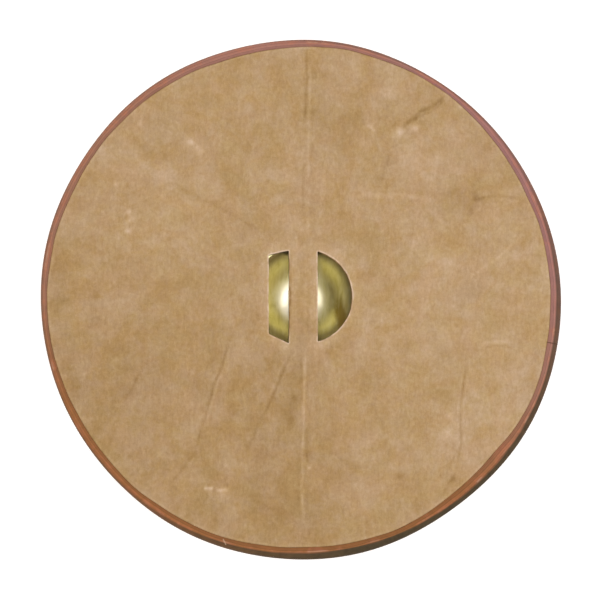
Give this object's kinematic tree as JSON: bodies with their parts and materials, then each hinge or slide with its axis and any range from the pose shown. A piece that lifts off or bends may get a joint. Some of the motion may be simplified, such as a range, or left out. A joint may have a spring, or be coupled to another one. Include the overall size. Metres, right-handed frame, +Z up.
{
  "type": "round shield",
  "caption": "Round wooden shield with a suede-faced back, leather-bound edge, grip bar between two hand openings, and a hollow brass boss over the hand on the front.",
  "frame": {"origin": "middle of the small flat spot under the boss, on the surface that the shield lies on", "axes": "+Z up along the shield's axis, from the boss towards the grip side; +Y towards the upper end of the grip; +X to the right, seen from the grip side"},
  "size_m": [0.76, 0.76, 0.0761],
  "materials": {
    "wood": "plain oiled planks",
    "suede": "napped tan suede with creases",
    "leather": "red-brown strap leather, matt",
    "brass": "satin, slightly tarnished inside"
  },
  "bodies": {
    "root": {"wooden_board": "wood", "suede_back_facing": "suede", "leather_edge_binding": "leather", "brass_boss": "brass", "boss_nail_1": "brass", "boss_nail_2": "brass", "boss_nail_3": "brass", "boss_nail_4": "brass", "boss_nail_5": "brass", "boss_nail_6": "brass", "boss_nail_7": "brass", "boss_nail_8": "brass"}
  },
  "joints": []
}
